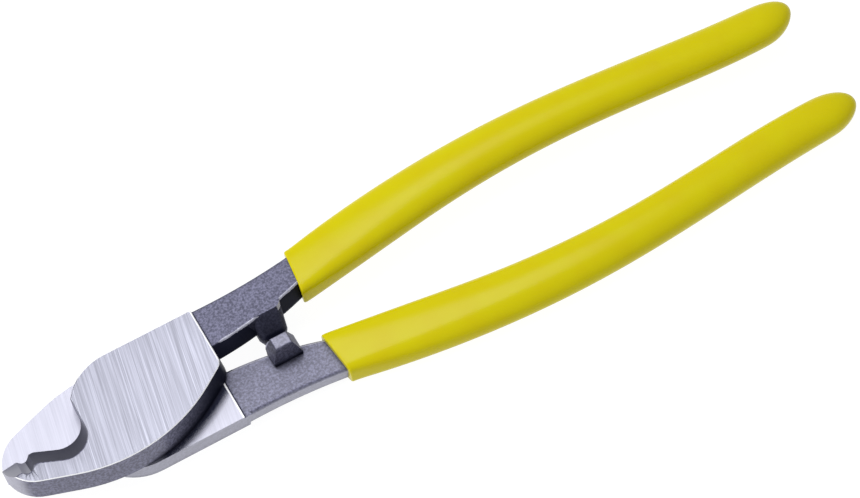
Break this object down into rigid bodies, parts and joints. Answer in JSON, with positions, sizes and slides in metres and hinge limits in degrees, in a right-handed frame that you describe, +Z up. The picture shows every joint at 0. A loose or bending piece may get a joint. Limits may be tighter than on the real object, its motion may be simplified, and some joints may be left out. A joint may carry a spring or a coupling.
{
  "type": "cable cutter",
  "caption": "Plier-type hand cable cutter: hooked crescent jaws on a flush rivet lap joint, bowed handles with dipped grips and a closing stop.",
  "frame": {"origin": "on the pivot rivet's axis, in the plane that the back half lies on", "axes": "+X from the pivot to the handle ends, +Y towards the moving (front) handle, +Z up through the lap joint, so the front face looks up"},
  "size_m": [0.2527, 0.0568, 0.014],
  "materials": {
    "forged_steel": "drop-forged and tumbled, with the hub and jaw faces surface ground",
    "ground_rivet": "ground flush with the hub face",
    "dipped_grip": "glossy dipped yellow PVC"
  },
  "bodies": {
    "back_lever": {"back_half": "forged_steel", "pivot_rivet": "ground_rivet", "back_grip": "dipped_grip"},
    "front_lever": {"front_half": "forged_steel", "front_grip": "dipped_grip"}
  },
  "joints": [
    {"name": "pivot", "type": "hinge", "parent": "back_lever", "child": "front_lever", "pos_m": [0, 0, 0.007], "axis": [0, 0, 1], "range_deg": [0, 45]}
  ]
}
